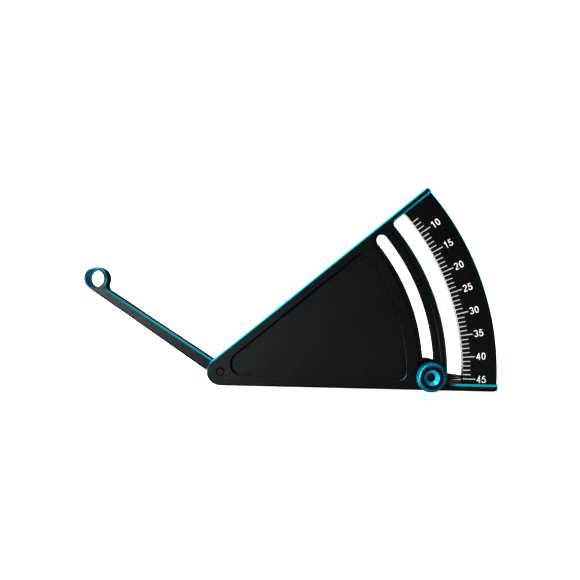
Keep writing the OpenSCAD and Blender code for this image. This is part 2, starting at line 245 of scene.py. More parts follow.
def from_centre(tree, place, centre):
    """Place measured from a centre."""
    node = add(tree, "ShaderNodeVectorMath", operation="SUBTRACT")
    feed(tree, node.inputs[0], place)
    node.inputs[1].default_value = centre
    return node.outputs[0]


def from_axis(tree, place, centre):
    """Distance from the line along Y through a centre."""
    flat = add(tree, "ShaderNodeVectorMath", operation="MULTIPLY")
    feed(tree, flat.inputs[0], place)
    flat.inputs[1].default_value = (1, 0, 1)
    apart = add(tree, "ShaderNodeVectorMath", operation="DISTANCE")
    feed(tree, apart.inputs[0], flat.outputs[0])
    apart.inputs[1].default_value = (centre.x, 0, centre.z)
    return apart.outputs["Value"]


def along(tree, place, centre, direction):
    """Distance from a centre, measured along a direction."""
    return dot_product(tree, from_centre(tree, place, centre), direction)


def add_bump(tree, shader, height, strength, distance, normal=None):
    """Fine relief on a shader's surface."""
    bump = add(tree, "ShaderNodeBump")
    if normal:
        feed(tree, bump.inputs["Normal"], normal)
    feed(tree, bump.inputs["Strength"], strength)
    feed(tree, bump.inputs["Distance"], distance)
    feed(tree, bump.inputs["Height"], height)
    feed(tree, shader.inputs["Normal"], bump.outputs[0])


# Shader groups that the materials share

# Slope against Y, from 0 on a side wall to 1 on a flat face: where each kind starts and ends
WALL_END = (0.05, 0.15)
CHAMFER_START = (0.5, 0.6)
CHAMFER_END = (0.86, 0.94)
FACE_START = (0.94, 0.98)

# Blotches in a metre, and the values of the noise between which each effect sets in
GRAIN_SCALE = 4000.0
FINE_GRAIN_SCALE = 6000.0
PATCH_SCALE = 55.0
SCRATCH_TURN = math.radians(-38)
SCRATCH_STRETCH = (130, 300, 1400)
SPECKLE_RISE = (0.35, 0.65)
PATCH_RISE = (0.3, 0.7)
SCRATCH_RISE = (0.72, 0.78)


def new_group(name, outputs, **inputs):
    """An empty shader group: its outputs' names and kinds, and its number inputs' defaults."""
    group = bpy.data.node_groups.new(name, "ShaderNodeTree")
    for label, default in inputs.items():
        kind = "NodeSocketFloat"
        socket = group.interface.new_socket(label, in_out="INPUT", socket_type=kind)
        socket.default_value = default
    for label, kind in outputs.items():
        group.interface.new_socket(label, in_out="OUTPUT", socket_type=kind)
    return group


def surface_group():
    """Tells a solid's chamfers, faces and side walls apart, and keeps its flat faces flat.

    Every joint turns about Y, so the slope against Y is the same at every pose."""
    outputs = {
        "Chamfer": "NodeSocketFloat",
        "Face": "NodeSocketFloat",
        "Wall": "NodeSocketFloat",
        "Normal": "NodeSocketVector",
    }
    group = new_group("surface_kind", outputs)
    geometry = add(group, "ShaderNodeNewGeometry").outputs
    slope = maths(group, "ABSOLUTE", axes(group, geometry["True Normal"])["Y"])
    chamfer = all_of(group, ramp(group, slope, *CHAMFER_START), fade(group, slope, *CHAMFER_END))
    not_wall = ramp(group, slope, *WALL_END)
    normal = mix(group, "VECTOR", not_wall, geometry["Normal"], geometry["True Normal"])
    results = add(group, "NodeGroupOutput").inputs
    feed(group, results["Chamfer"], chamfer)
    feed(group, results["Face"], ramp(group, slope, *FACE_START))
    feed(group, results["Wall"], fade(group, slope, *WALL_END))
    feed(group, results["Normal"], normal)
    return group


def grain_group():
    """Metal that was blasted and dyed: fine grain, dark specks, patches and a few scratches."""
    labels = ("Grain", "Speckle", "Patches", "Scratches")
    outputs = {label: "NodeSocketFloat" for label in labels}
    group = new_group("anodised_grain", outputs, Scale=GRAIN_SCALE)
    place = object_place(group)
    grain_scale = add(group, "NodeGroupInput").outputs["Scale"]
    grain = noise(group, place, grain_scale, 3.0, 0.6)
    patches = noise(group, place, PATCH_SCALE, 4.0)
    strokes = add(group, "ShaderNodeMapping")
    feed(group, strokes.inputs["Vector"], place)
    strokes.inputs["Rotation"].default_value = (0, SCRATCH_TURN, 0)
    strokes.inputs["Scale"].default_value = SCRATCH_STRETCH
    scratches = noise(group, strokes.outputs[0], 1.0, 1.0)
    results = add(group, "NodeGroupOutput").inputs
    feed(group, results["Grain"], grain)
    feed(group, results["Speckle"], ramp(group, grain, *SPECKLE_RISE))
    feed(group, results["Patches"], ramp(group, patches, *PATCH_RISE))
    feed(group, results["Scratches"], ramp(group, scratches, *SCRATCH_RISE))
    return group


SURFACE = surface_group()
GRAIN = grain_group()


def use_group(tree, group, **values):
    """A group placed in a material with its own values; gives the group's outputs by name."""
    node = add(tree, "ShaderNodeGroup")
    node.node_tree = group
    for name, value in values.items():
        feed(tree, node.inputs[name], value)
    return node.outputs


# Colours. A metal's colour is what it reflects, so the black dye's is close to nothing.
BLACK = (0.0034, 0.0039, 0.0042)
SCRATCH = (0.0065, 0.007, 0.0075)
CUT_CYAN = (0.003, 0.2, 0.25)
ARM_CYAN = (0.006, 0.19, 0.25)
BORE_BLUE = (0.004, 0.1, 0.17)
KNOB_BLUE = (0.002, 0.18, 0.29)
# A lighter copy of the knob's blue: painted light in the countersink
SINK_BLUE_PAINTED_LIGHT = (0.012, 0.32, 0.47)
# The bare wall's cut metal, with painted shade at its lower end and painted light at its upper end
BARE_PAINTED_SHADE = (0.038, 0.046, 0.058)
BARE_PAINTED_LIGHT = (0.105, 0.098, 0.083)
# Painted light on the low walls that face the light
WALL_PAINTED_LIGHT = (0.09, 0.088, 0.08)
OXIDE_BLACK = (0.0045, 0.0047, 0.005)
# Painted shade in the gap round a screw's end
GAP_SHADE_BLACK = (0.0006, 0.0006, 0.0006)
SPRING_GREY = (0.6, 0.6, 0.62)
BUSH_CREAM = (0.8, 0.78, 0.71)
MARK_WHITE = (0.21, 0.215, 0.205)
NUMBER_WHITE = (0.45, 0.46, 0.44)
INDEX_GREY = (0.04, 0.04, 0.04)
WHITE = (1.0, 1.0, 1.0)

# Keeps dark metal dark where it is seen at a low angle
DARK_EDGE_TINT = (0.25, 0.25, 0.25)

# How much of a colour is left in dark and light specks, in patches and where paint wore
SPECK_DARK = 0.72
SPECK_LIGHT = 1.35
PATCH_TONE = 0.8
WORN_TONE = 0.82


def shade_of(colour, strength):
    """A colour made darker or lighter."""
    return tuple(channel * strength for channel in colour)


def patchy(tree, grain, colour):
    """A colour that is a little darker in patches."""
    return mix_colour(tree, grain["Patches"], colour, shade_of(colour, PATCH_TONE))


def new_material(name):
    """A material with its node tree and its shader."""
    material = bpy.data.materials.new(name)
    material.use_nodes = True
    tree = material.node_tree
    return material, tree, tree.nodes["Principled BSDF"]


# The body's finish

# Where the chamfers change from black to blue: heights, places along X and distances, each
# with its start and its end
SCREW_RIM = (2.4 * MM, 2.8 * MM)
LOWER_EDGE = (0.9 * MM, 1.4 * MM)
NOSE_HEIGHT = (1.5 * MM, 6 * MM)
NOSE_SIDE = (PIVOT.x - 1 * MM, PIVOT.x + 1 * MM)
# Painted shadow of the knob: the lower rim's blue is dimmed beside it
KNOB_SHADE_SIDE = (KNOB_CENTRE.x + 8.5 * MM, KNOB_CENTRE.x + 11 * MM)
KNOB_SHADE_TOP = (3.5 * MM, 5 * MM)
KNOB_SHADE_BLUE = 0.2
LOWER_RIM_TOP = (8 * MM, 11 * MM)
# Painted shade: the upper rim's blue dims towards the pivot, and the lower rim's stays full
UPPER_RIM_SIDE = (PIVOT.x + 30 * MM, PIVOT.x + 80 * MM)
UPPER_RIM_SHADING = (0.55, 0.9)

# The bare outer wall of the window, with painted shade that makes it darker and bluer at its lower end and painted
# light that makes it lighter higher up
BARE_WALL_REACH = 0.15 * MM
BARE_WALL_SOFT = 0.05 * MM
BARE_WALL_START = (5 * MM, 11 * MM)
BARE_WALL_SHADING = (10 * MM, 50 * MM)

# Painted light on the low walls: they face up and towards the ring
LIT_FACING = (-0.71, 0, 0.71)
LIT_FACING_START = (0.3, 0.6)
LIT_FACING_GAIN = (0.7, 1.0, 0.3, 1.0)
LIT_RADIUS_END = (87 * MM, 87.2 * MM)
LIT_DEPTH_END = (SCALE_Y - 0.05 * MM, SCALE_Y + 0.1 * MM)
LIT_UNDER_RIM = (0.5 * MM, 1.3 * MM)
LIT_HEIGHT_START = (1.2 * MM, 1.6 * MM)

# The painted shadow on the pocket's floor, inside its upper wall
SHADE_W = 0.75 * MM
SHADE_SOFT = 0.15 * MM
SHADE_STRENGTH = 0.2
POCKET_FLOOR_SOFT = 0.05 * MM
NOSE_JOIN = 0.3 * MM
NOSE_SHADE_START = (POCKET_LAND + 0.2 * MM, POCKET_LAND + 1.5 * MM)
SHADE_FAR_END = (POCKET_R - 0.9 * MM, POCKET_R + 0.1 * MM)

# Blasted metal: its roughness, what its patches add, what a cutter takes away, its relief
BLASTED_ROUGHNESS = 0.42
PATCH_ROUGHNESS = 0.05
CUT_SMOOTHNESS = 0.16
BLASTED_RELIEF = 0.3
BLASTED_RELIEF_DEPTH = 0.02 * MM


def body_blue(tree, place):
    """Where the body's chamfers show blue: not at the screw, and not along the lower edge. Painted shadow dims the
    blue beside the knob, and painted shade dims it along the upper rim towards the pivot.
    """
    x = axes(tree, place)["X"]
    height = axes(tree, place)["Z"]
    off_screw = ramp(tree, from_axis(tree, place, PIVOT), *SCREW_RIM)
    past_nose = any_of(tree, ramp(tree, x, *NOSE_SIDE), ramp(tree, height, *NOSE_HEIGHT))
    # Painted shadow of the knob on the lower rim's chamfer
    out_of_knob_shadow = any_of(
        tree,
        ramp(tree, x, *KNOB_SHADE_SIDE, KNOB_SHADE_BLUE, 1.0),
        ramp(tree, height, *KNOB_SHADE_TOP),
    )
    # Painted shade: the upper rim's blue is dimmer towards the pivot
    rim_shading = any_of(
        tree,
        ramp(tree, x, *UPPER_RIM_SIDE, *UPPER_RIM_SHADING),
        fade(tree, height, *LOWER_RIM_TOP),
    )
    above_edge = ramp(tree, height, *LOWER_EDGE)
    return all_of(tree, off_screw, above_edge, past_nose, out_of_knob_shadow, rim_shading)


def bare_window_wall(tree, place, wall):
    """The outer wall of the window, where the scale was cut through the dye."""
    radius = from_axis(tree, place, PIVOT)
    low = SCALE_IN_R - BARE_WALL_REACH
    at_wall = band(tree, radius, low, SCALE_IN_R + BARE_WALL_REACH, BARE_WALL_SOFT)
    above_pointer = ramp(tree, axes(tree, place)["Z"], *BARE_WALL_START)
    return all_of(tree, at_wall, wall, above_pointer)


def lit_low_walls(tree, place, wall):
    """Painted light on the walls of the pocket and of the knob's track, where they face up and towards the ring.
    """
    normal = add(tree, "ShaderNodeNewGeometry").outputs["True Normal"]
    facing = dot_product(tree, normal, LIT_FACING)
    spot = axes(tree, place)
    return all_of(
        tree,
        ramp(tree, facing, *LIT_FACING_GAIN),
        ramp(tree, facing, *LIT_FACING_START),
        wall,
        fade(tree, from_axis(tree, place, PIVOT), *LIT_RADIUS_END),
        fade(tree, along(tree, place, PIVOT, UPPER_EDGE_UP), *LIT_UNDER_RIM),
        fade(tree, spot["Y"], *LIT_DEPTH_END),
        ramp(tree, spot["Z"], *LIT_HEIGHT_START),
    )


def pocket_nose():
    """Centre of the pocket's rounded nose, which touches its lower and its upper wall."""
    from_base = POCKET_LAND + POCKET_NOSE_R - PIVOT.z
    from_edge = PIVOT.z - POCKET_LAND - POCKET_NOSE_R
    out = (from_base * math.cos(SECTOR_ANGLE) - from_edge) / math.sin(SECTOR_ANGLE)
    return PIVOT + Vector((out, 0, from_base))


def pocket_shade(tree, place):
    """A painted shadow: a dark line on the pocket's floor under its upper wall and round its nose."""
    upper_wall = PIVOT.z - POCKET_LAND
    nose = pocket_nose()
    spot = axes(tree, place)
    low = POCKET_Y - POCKET_FLOOR_SOFT
    on_floor = band(tree, spot["Y"], low, POCKET_Y + POCKET_FLOOR_SOFT, POCKET_FLOOR_SOFT)
    past_nose = ramp(tree, along(tree, place, nose, UPPER_EDGE_ALONG), -NOSE_JOIN, NOSE_JOIN)
    rise = along(tree, place, PIVOT, UPPER_EDGE_UP)
    upper_line = all_of(
        tree,
        band(tree, rise, upper_wall - SHADE_W, upper_wall, SHADE_SOFT),
        past_nose,
        fade(tree, from_axis(tree, place, PIVOT), *SHADE_FAR_END),
    )
    radius = from_axis(tree, place, nose)
    nose_line = all_of(
        tree,
        band(tree, radius, POCKET_NOSE_R - SHADE_W, POCKET_NOSE_R, SHADE_SOFT),
        none_of(tree, past_nose),
        ramp(tree, spot["Z"], *NOSE_SHADE_START),
    )
    return all_of(tree, on_floor, any_of(tree, upper_line, nose_line))


def black_dye(tree, grain):
    """The even black of the dye, with its specks and its scratches."""
    dark = shade_of(BLACK, SPECK_DARK)
    light = shade_of(BLACK, SPECK_LIGHT)
    speckled = mix_colour(tree, grain["Speckle"], dark, light)
    return mix_colour(tree, grain["Scratches"], speckled, SCRATCH)


def anodised_gloss(tree, shader, surface, grain, cut):
    """Blasted metal that is a little uneven, and smoother where a chamfer was cut."""
    feed(tree, shader.inputs["Specular Tint"], DARK_EDGE_TINT)
    uneven = maths(tree, "MULTIPLY", grain["Patches"], PATCH_ROUGHNESS)
    blasted = maths(tree, "ADD", uneven, BLASTED_ROUGHNESS)
    smoother = maths(tree, "MULTIPLY", cut, CUT_SMOOTHNESS)
    feed(tree, shader.inputs["Roughness"], maths(tree, "SUBTRACT", blasted, smoother))
    relief = (BLASTED_RELIEF, BLASTED_RELIEF_DEPTH)
    add_bump(tree, shader, grain["Grain"], *relief, surface["Normal"])


def body_material():
    """Black anodised body; its chamfers were cut and dyed blue afterwards."""
    material, tree, shader = new_material("black_anodised_body")
    surface = use_group(tree, SURFACE)
    grain = use_group(tree, GRAIN)
    place = object_place(tree)
    cut = all_of(tree, surface["Chamfer"], body_blue(tree, place))
    lit = lit_low_walls(tree, place, surface["Wall"])
    bare = bare_window_wall(tree, place, surface["Wall"])
    # Painted shade and painted light on the bare window wall: darker and bluer low down, lighter high up
    bare_shading = ramp(tree, axes(tree, place)["Z"], *BARE_WALL_SHADING)
    bare_shaded_tone = mix_colour(tree, bare_shading, BARE_PAINTED_SHADE, BARE_PAINTED_LIGHT)
    # Painted shadow: the pocket's floor is darker under its upper wall and round its nose
    shaded = shade_of(BLACK, SHADE_STRENGTH)
    colour = black_dye(tree, grain)
    colour = mix_colour(tree, pocket_shade(tree, place), colour, shaded)
    colour = mix_colour(tree, cut, colour, CUT_CYAN)
    # Painted light: the low walls that face up and towards the ring are lighter, brightest where they face it
    # squarely
    colour = mix_colour(tree, lit, colour, WALL_PAINTED_LIGHT)
    colour = mix_colour(tree, bare, colour, bare_shaded_tone)
    feed(tree, shader.inputs["Base Color"], colour)
    feed(tree, shader.inputs["Metallic"], none_of(tree, bare, lit))
    anodised_gloss(tree, shader, surface, grain, cut)
    return material


# The lever's finish

# Where the arm's chamfers change from blue to black, each with its start and its end
PAD_RIM = (9.5 * MM, 11 * MM)
ARM_LOWER_EDGE = (ARM_LOW + 0.8 * MM, ARM_LOW + 1.2 * MM)
ARM_UPPER_EDGE = (ARM_HIGH - 0.25 * MM, ARM_HIGH - 0.15 * MM)
LOWER_EDGE_TO_RING = (-3.5 * MM, 1 * MM)
UPPER_EDGE_TO_RING = (-9 * MM, -7 * MM)
RING_MOUTH = (RING_BORE_R + 0.6 * MM, RING_BORE_R + 0.75 * MM)
RING_BORE = (RING_BORE_R + 0.1 * MM, RING_BORE_R + 0.2 * MM)


def arm_blue(tree, place):
    """Where the arm's chamfers show blue: on its upper side and round the ring's outside."""
    rise = along(tree, place, PIVOT, ARM_UP)
    to_ring = along(tree, place, RING_CENTRE, ARM_ALONG)
    lower_edge = all_of(
        tree,
        fade(tree, rise, *ARM_LOWER_EDGE),
        fade(tree, to_ring, *LOWER_EDGE_TO_RING),
    )
    upper_edge = all_of(
        tree,
        ramp(tree, rise, *ARM_UPPER_EDGE),
        fade(tree, to_ring, *UPPER_EDGE_TO_RING),
    )
    pad = fade(tree, from_axis(tree, place, KNOB_CENTRE), *PAD_RIM)
    mouth = fade(tree, from_axis(tree, place, RING_CENTRE), *RING_MOUTH)
    return none_of(tree, pad, lower_edge, mouth, upper_edge)


def lever_material():
    """Black anodised lever, with blue chamfers on the arm and a blue bore in the ring."""
    material, tree, shader = new_material("black_anodised_arm")
    surface = use_group(tree, SURFACE)
    grain = use_group(tree, GRAIN)
    place = object_place(tree)
    cut = all_of(tree, surface["Chamfer"], arm_blue(tree, place))
    near_bore = fade(tree, from_axis(tree, place, RING_CENTRE), *RING_BORE)
    bore = all_of(tree, near_bore, surface["Wall"])
    colour = mix_colour(tree, cut, black_dye(tree, grain), ARM_CYAN)
    feed(tree, shader.inputs["Base Color"], mix_colour(tree, bore, colour, BORE_BLUE))
    feed(tree, shader.inputs["Metallic"], 1.0)
    anodised_gloss(tree, shader, surface, grain, cut)
    return material


# The knob's finish

SINK_EDGE = (2.9 * MM, 3 * MM)
BLACK_RING_IN = 2.98 * MM
BLACK_RING_OUT = 4.52 * MM
BLACK_RING_SOFT = 0.05 * MM
BLACK_RING_DEPTH = (KNOB_FACE_Y + 0.3 * MM, KNOB_FACE_Y + 0.35 * MM)
KNURL_TEETH = 48
KNURL_START = (4.7 * MM, 5.2 * MM)
KNURL_RISE = 0.5
KNOB_GRAIN_RISE = 0.1
KNOB_RELIEF_DEPTH = 0.3 * MM
KNOB_ROUGHNESS = 0.3
KNOB_FACE_ROUGHNESS = 0.12


def knurl_ridges(tree, place, radius):
    """Ridges round the knob's rim, one for each tooth."""
    spot = axes(tree, from_centre(tree, place, KNOB_CENTRE))
    turn = maths(tree, "ARCTAN2", spot["Z"], spot["X"])
    wave = maths(tree, "SINE", maths(tree, "MULTIPLY", turn, KNURL_TEETH))
    rim = maths(tree, "MULTIPLY", ramp(tree, radius, *KNURL_START), KNURL_RISE)
    return maths(tree, "MULTIPLY", wave, rim)


def knob_material():
    """Blue anodised knob: its flat face is black, all that is sloped or round is blue."""
    material, tree, shader = new_material("blue_anodised_knob")
    surface = use_group(tree, SURFACE)
    grain = use_group(tree, GRAIN)
    place = object_place(tree)
    radius = from_axis(tree, place, KNOB_CENTRE)
    black_ring = all_of(
        tree,
        band(tree, radius, BLACK_RING_IN, BLACK_RING_OUT, BLACK_RING_SOFT),
        fade(tree, axes(tree, place)["Y"], *BLACK_RING_DEPTH),
    )
    face = any_of(tree, surface["Face"], black_ring)
    in_sink = fade(tree, radius, *SINK_EDGE)
    # Painted light: the countersink gets a lighter copy of the knob's blue
    blue = mix_colour(tree, in_sink, patchy(tree, grain, KNOB_BLUE), SINK_BLUE_PAINTED_LIGHT)
    feed(tree, shader.inputs["Base Color"], mix_colour(tree, face, blue, BLACK))
    feed(tree, shader.inputs["Metallic"], 1.0)
    feed(tree, shader.inputs["Specular Tint"], DARK_EDGE_TINT)
    rougher = maths(tree, "MULTIPLY", face, KNOB_FACE_ROUGHNESS)
    feed(tree, shader.inputs["Roughness"], maths(tree, "ADD", rougher, KNOB_ROUGHNESS))
    fine_grain = maths(tree, "MULTIPLY", grain["Grain"], KNOB_GRAIN_RISE)
    height = maths(tree, "ADD", knurl_ridges(tree, place, radius), fine_grain)
    add_bump(tree, shader, height, 1.0, KNOB_RELIEF_DEPTH, surface["Normal"])
    return material


# Screws, washers, bushes and paint

STEEL_ROUGHNESS = 0.28
PLASTIC_ROUGHNESS = 0.5
OXIDE_ROUGHNESS = 0.4
PAINT_ROUGHNESS = 0.55
TURNED_PATCH_ROUGHNESS = 0.1
TURNED_RELIEF = 0.1
PAINT_RELIEF = 0.2
RELIEF_DEPTH = 0.01 * MM
PAINT_GRAIN_SCALE = 2500.0
SCREW_GAP_SHADE = (1.1 * MM, 1.2 * MM)


def turned_gloss(tree, shader, grain, roughness):
    """The gloss and the fine grain of a turned piece, a little uneven."""
    uneven = maths(tree, "MULTIPLY", grain["Patches"], TURNED_PATCH_ROUGHNESS)
    feed(tree, shader.inputs["Roughness"], maths(tree, "ADD", uneven, roughness))
    add_bump(tree, shader, grain["Grain"], TURNED_RELIEF, RELIEF_DEPTH)


def spring_material():
    """Spring steel, bright all over."""
    material, tree, shader = new_material("spring_steel_bright")
    grain = use_group(tree, GRAIN, Scale=FINE_GRAIN_SCALE)
    feed(tree, shader.inputs["Base Color"], patchy(tree, grain, SPRING_GREY))
    feed(tree, shader.inputs["Metallic"], 1.0)
    turned_gloss(tree, shader, grain, STEEL_ROUGHNESS)
    return material


def bush_material():
    """The undyed plastic of the bushes."""
    material, tree, shader = new_material("natural_acetal")
    grain = use_group(tree, GRAIN, Scale=FINE_GRAIN_SCALE)
    feed(tree, shader.inputs["Base Color"], patchy(tree, grain, BUSH_CREAM))
    turned_gloss(tree, shader, grain, PLASTIC_ROUGHNESS)
    return material


def screw_material(name, centre):
    """Black oxide steel, painted nearly black away from its middle as shade in the gap round the screw's end."""
    material, tree, shader = new_material(name)
    grain = use_group(tree, GRAIN, Scale=FINE_GRAIN_SCALE)
    # Painted shade: the screw is nearly black away from its middle, where the gap round its end is
    gap = ramp(tree, from_axis(tree, object_place(tree), centre), *SCREW_GAP_SHADE)
    colour = mix_colour(tree, gap, patchy(tree, grain, OXIDE_BLACK), GAP_SHADE_BLACK)
    feed(tree, shader.inputs["Base Color"], colour)
    feed(tree, shader.inputs["Metallic"], 1.0)
    feed(tree, shader.inputs["Specular Tint"], DARK_EDGE_TINT)
    turned_gloss(tree, shader, grain, OXIDE_ROUGHNESS)
    return material


def paint(name, colour):
    """Paint or ink with a slightly uneven cover."""
    material, tree, shader = new_material(name)
    cover = noise(tree, object_place(tree), PAINT_GRAIN_SCALE, 4.0)
    worn = ramp(tree, cover, *SPECKLE_RISE)
    tone = mix_colour(tree, worn, colour, shade_of(colour, WORN_TONE))
    feed(tree, shader.inputs["Base Color"], tone)
    feed(tree, shader.inputs["Roughness"], PAINT_ROUGHNESS)
    add_bump(tree, shader, cover, PAINT_RELIEF, RELIEF_DEPTH)
    return material


def dress_solids():
    """Gives every solid of the gauge its finish."""
    spring_steel = spring_material()
    bush_plastic = bush_material()
    finishes = {
        "body_plate": body_material(),
        "lever": lever_material(),
        "front_bush": bush_plastic,
        "rear_bush": bush_plastic,
        "slot_bush": bush_plastic,
        "pivot_screw": screw_material("black_oxide_pivot", PIVOT),
        "lock_stud": screw_material("black_oxide_stud", KNOB_CENTRE),
        "spring_washer": spring_steel,
        "clamp_washer": spring_steel,
        "lock_knob": knob_material(),
    }
    for name, material in finishes.items():
        nodes[name].data.materials[0] = material


# The marks of the scale

MARK_LEN = 2.9 * MM
LONG_MARK_LEN = 4.8 * MM
MARK_W = 0.35 * MM
MARK_DEPTH = 0.12 * MM
FILL_GAP = 0.02 * MM
FILL_SINK = 0.02 * MM
FILL_FLOOR_GAP = 0.002 * MM


def add_scale_marks():
    """The white fill of the engraved marks, a hair below the surface."""
    bm = bmesh.new()
    depth = MARK_DEPTH - FILL_SINK - FILL_FLOOR_GAP
    for reading in range(LOW_READING, TOP_READING + 1):
        length = MARK_LEN if reading % NUMBERED_STEP else LONG_MARK_LEN
        made = bmesh.ops.create_cube(bm, size=1.0)["verts"]
        size = Matrix.Diagonal((length - 2 * FILL_GAP, depth, MARK_W - 2 * FILL_GAP, 1))
        middle = PIVOT + Vector((SCALE_IN_R + length / 2, 0, 0))
        middle.y = SCALE_Y + (MARK_DEPTH + FILL_SINK) / 2
        place = turn_about_pivot(mark_angle(reading)) @ Matrix.Translation(middle) @ size
        bmesh.ops.transform(bm, matrix=place, verts=made)
    finish_piece("scale_mark_fill", bm, paint("white_paint", MARK_WHITE), "gauge_body")


# The numbers of the scale

ARC_STEPS = 20


def arc(x, y, across, up, first, last):
    """Points along part of an oval, with its angles in degrees."""
    shares = [i / ARC_STEPS for i in range(ARC_STEPS + 1)]
    turns = [math.radians(first + (last - first) * share) for share in shares]
    return [(x + across * math.cos(turn), y + up * math.sin(turn)) for turn in turns]


# The middle lines of each digit's strokes, drawn from its lower left corner
DIGITS = {
    "0": [arc(0.7, 1.3, 0.68, 1.3, 0, 360)],
    "1": [[(0.9, -0.2), (0.9, 2.83)], [(0.95, 2.66), (0.25, 2.1)]],
    "2": [arc(0.7, 1.95, 0.64, 0.66, 165, -35) + [(0.1, 0.1)], [(-0.08, 0), (1.42, 0)]],
    "3": [arc(0.66, 1.96, 0.6, 0.65, 160, -90), arc(0.66, 0.68, 0.7, 0.68, 90, -160)],
    "4": [
        [(1.05, -0.2), (1.05, 2.83)],
        [(1.1, 2.75), (0, 0.78)],
        [(-0.15, 0.72), (1.5, 0.72)],
    ],
    "5": [
        [(0.16, 2.6), (1.33, 2.6)],
        [(0.34, 2.78), (0.14, 1.3)],
        arc(0.64, 0.84, 0.74, 0.82, 140, -165),
    ],
}
DIGIT_W = 1.4
DIGIT_H = 2.61
DIGIT_PITCH = 2.15
STROKE_W = 0.33

# The printed size of one unit of the drawing, across the face and in the paint's thickness
PRINT_SCALE = 0.92 * MM
PRINT_THICKNESS = 0.1 * MM
NUMBER_R = 101.55 * MM
LOWEST_NUMBER = 10
WELD_GAP = 0.0001 * MM


def add_stroke(bm, points, place):
    """A flat stroke of paint, swept along its middle line."""
    closed = math.dist(points[0], points[-1]) < 0.001
    if closed:
        points = points[:-1]
    curve = bpy.data.curves.new("stroke", "CURVE")
    curve.dimensions = "3D"
    curve.bevel_depth = STROKE_W / 2
    curve.bevel_resolution = 1
    curve.use_fill_caps = True
    spline = curve.splines.new("POLY")
    spline.points.add(len(points) - 1)
    for point, (x, y) in zip(spline.points, points):
        point.co = (x, y, 0, 1)
    spline.use_cyclic_u = closed
    holder = bpy.data.objects.new("stroke", curve)
    bpy.context.scene.collection.objects.link(holder)
    bpy.context.view_layer.update()
    swept = holder.evaluated_get(bpy.context.evaluated_depsgraph_get())
    mesh = bpy.data.meshes.new_from_object(swept)
    bpy.data.objects.remove(holder)
    bpy.data.curves.remove(curve)
    mesh.transform(place)
    bm.from_mesh(mesh)
    bpy.data.meshes.remove(mesh)


def add_number(bm, reading):
    """One printed number, centred on its mark and read outwards."""
    digits = str(reading)
    width = DIGIT_PITCH * (len(digits) - 1) + DIGIT_W
    middle = PIVOT + Vector((NUMBER_R, 0, 0))
    middle.y = SCALE_Y
    place = turn_about_pivot(mark_angle(reading)) @ Matrix.Translation(middle)
    upright = Matrix.Rotation(math.radians(90), 4, "X")
    size = Matrix.Diagonal((PRINT_SCALE, PRINT_SCALE, PRINT_THICKNESS, 1))
    for i, digit in enumerate(digits):
        corner = Matrix.Translation((DIGIT_PITCH * i - width / 2, -DIGIT_H / 2, 0))
        for points in DIGITS[digit]:
            add_stroke(bm, points, place @ upright @ size @ corner)


def add_scale_numbers():
    """A number at every fifth reading, from 10 up."""
    bm = bmesh.new()
    for reading in range(LOWEST_NUMBER, TOP_READING + 1, NUMBERED_STEP):
        add_number(bm, reading)
    bmesh.ops.remove_doubles(bm, verts=bm.verts, dist=WELD_GAP)
    bmesh.ops.recalc_face_normals(bm, faces=bm.faces)
    finish_piece("scale_numbers", bm, paint("number_white", NUMBER_WHITE), "gauge_body")


# The pointer's line

INDEX_R = 92.2 * MM
INDEX_UP = 0.1 * MM
INDEX_LEN = 3.6 * MM
INDEX_W = 0.18 * MM
INDEX_T = 0.02 * MM
INDEX_SINK = 0.002 * MM


def add_index_line():
    """The fine line on the pointer, just inside its upper edge."""
    bm = bmesh.new()
    bmesh.ops.create_cube(bm, size=1.0)
    middle = PIVOT + Vector((INDEX_R, 0, INDEX_UP))
    middle.y = POINTER_Y - INDEX_T / 2 + INDEX_SINK
    size = Matrix.Diagonal((INDEX_LEN, INDEX_T, INDEX_W, 1))
    place = turn_about_pivot(TOP_MARK_ANGLE) @ Matrix.Translation(middle) @ size
    bmesh.ops.transform(bm, matrix=place, verts=bm.verts)
    finish_piece("index_line", bm, paint("index_grey", INDEX_GREY), "lever_arm")


# The stage

FLOOR_FRONT = -1.2
FLOOR_BACK = 0.45
FLOOR_HALF_W = 1.6
BEND_R = 0.35
BEND_STEPS = 12
WALL_TOP = 1.6
PAPER_WHITE = (0.8, 0.8, 0.8)
PAPER_SHADED = (0.05, 0.05, 0.05)
PAPER_GLOW = 0.8
PAPER_ROUGHNESS = 0.9
PAPER_SHINE = 0.1

# The gauge's shadow on the floor behind it, seen from the front only under the pointer
SHADOW_LEFT = -35 * MM
SHADOW_RIGHT = 46 * MM
SHADOW_SOFT = 18 * MM
SHADOW_FRONT = (-3 * MM, 5 * MM)
SHADOW_BACK = (26 * MM, 48 * MM)
SHADOW_STRENGTH = 0.93


def paper_material():
    """Pale paper. Only the camera sees it glow, so the gauge's faces mirror a dim room."""
    material, tree, shader = new_material("pale_paper")
    spot = axes(tree, object_place(tree))
    shadow = all_of(
        tree,
        band(tree, spot["X"], SHADOW_LEFT, SHADOW_RIGHT, SHADOW_SOFT),
        ramp(tree, spot["Y"], *SHADOW_FRONT),
        fade(tree, spot["Y"], *SHADOW_BACK),
    )
    clear = none_of(tree, maths(tree, "MULTIPLY", shadow, SHADOW_STRENGTH))
    seen = add(tree, "ShaderNodeLightPath").outputs["Is Camera Ray"]
    glow = all_of(tree, maths(tree, "MULTIPLY", seen, PAPER_GLOW), clear)
    paper = mix_colour(tree, clear, PAPER_SHADED, PAPER_WHITE)
    feed(tree, shader.inputs["Base Color"], paper)
    feed(tree, shader.inputs["Roughness"], PAPER_ROUGHNESS)
    feed(tree, shader.inputs["Specular IOR Level"], PAPER_SHINE)
    feed(tree, shader.inputs["Emission Color"], WHITE)
    feed(tree, shader.inputs["Emission Strength"], glow)
    return material


